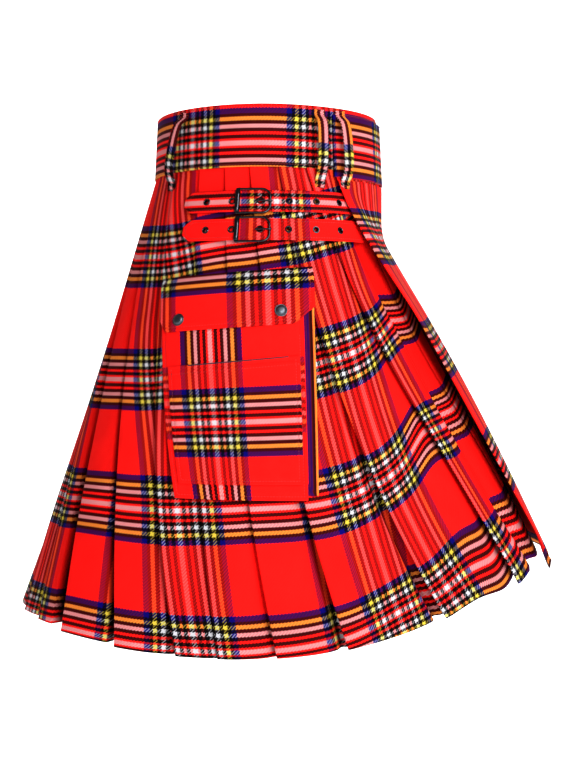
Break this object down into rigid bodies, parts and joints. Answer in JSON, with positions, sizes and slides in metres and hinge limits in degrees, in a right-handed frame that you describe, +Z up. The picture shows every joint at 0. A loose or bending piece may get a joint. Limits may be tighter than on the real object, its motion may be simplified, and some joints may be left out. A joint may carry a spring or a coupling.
{
  "type": "scottish kilt",
  "caption": "Knee-length pleated kilt of red check cloth with a wide waistband, belt loops, two buckled straps and a flap pocket on the right hip, held open as worn.",
  "frame": {"origin": "centre of the waistband ring, where the wearer's waist holds the kilt, at half the band's height", "axes": "+X the wearer's front, +Y the wearer's left, +Z up"},
  "size_m": [0.6121, 0.6198, 0.5867],
  "materials": {
    "tartan_cloth": "heavy twill-woven cloth in a red check with navy, black, yellow and white stripes, matt with a slight sheen",
    "gunmetal": "black nickel plate, polished"
  },
  "bodies": {
    "root": {"apron": "tartan_cloth", "belt_loop_apron": "tartan_cloth", "belt_loop_back_left": "tartan_cloth", "belt_loop_back_right": "tartan_cloth", "belt_loop_left": "tartan_cloth", "belt_loop_right": "tartan_cloth", "buckle_bar_lower": "gunmetal", "buckle_bar_upper": "gunmetal", "buckle_frame_lower": "gunmetal", "buckle_frame_upper": "gunmetal", "buckle_tab_lower": "tartan_cloth", "buckle_tab_upper": "tartan_cloth", "buckle_tongue_lower": "gunmetal", "buckle_tongue_upper": "gunmetal", "eyelet_lower_1": "gunmetal", "eyelet_lower_2": "gunmetal", "eyelet_lower_3": "gunmetal", "eyelet_lower_4": "gunmetal", "eyelet_lower_5": "gunmetal", "eyelet_lower_6": "gunmetal", "eyelet_upper_1": "gunmetal", "eyelet_upper_2": "gunmetal", "eyelet_upper_3": "gunmetal", "eyelet_upper_4": "gunmetal", "eyelet_upper_5": "gunmetal", "eyelet_upper_6": "gunmetal", "pleats_back": "tartan_cloth", "pleats_left": "tartan_cloth", "pleats_right": "tartan_cloth", "pocket_back": "tartan_cloth", "pocket_flap": "tartan_cloth", "pocket_front": "tartan_cloth", "pocket_gusset": "tartan_cloth", "pocket_patch": "tartan_cloth", "snap_back": "gunmetal", "snap_front": "gunmetal", "strap_lower": "tartan_cloth", "strap_upper": "tartan_cloth", "under_apron": "tartan_cloth", "waistband": "tartan_cloth"}
  },
  "joints": []
}
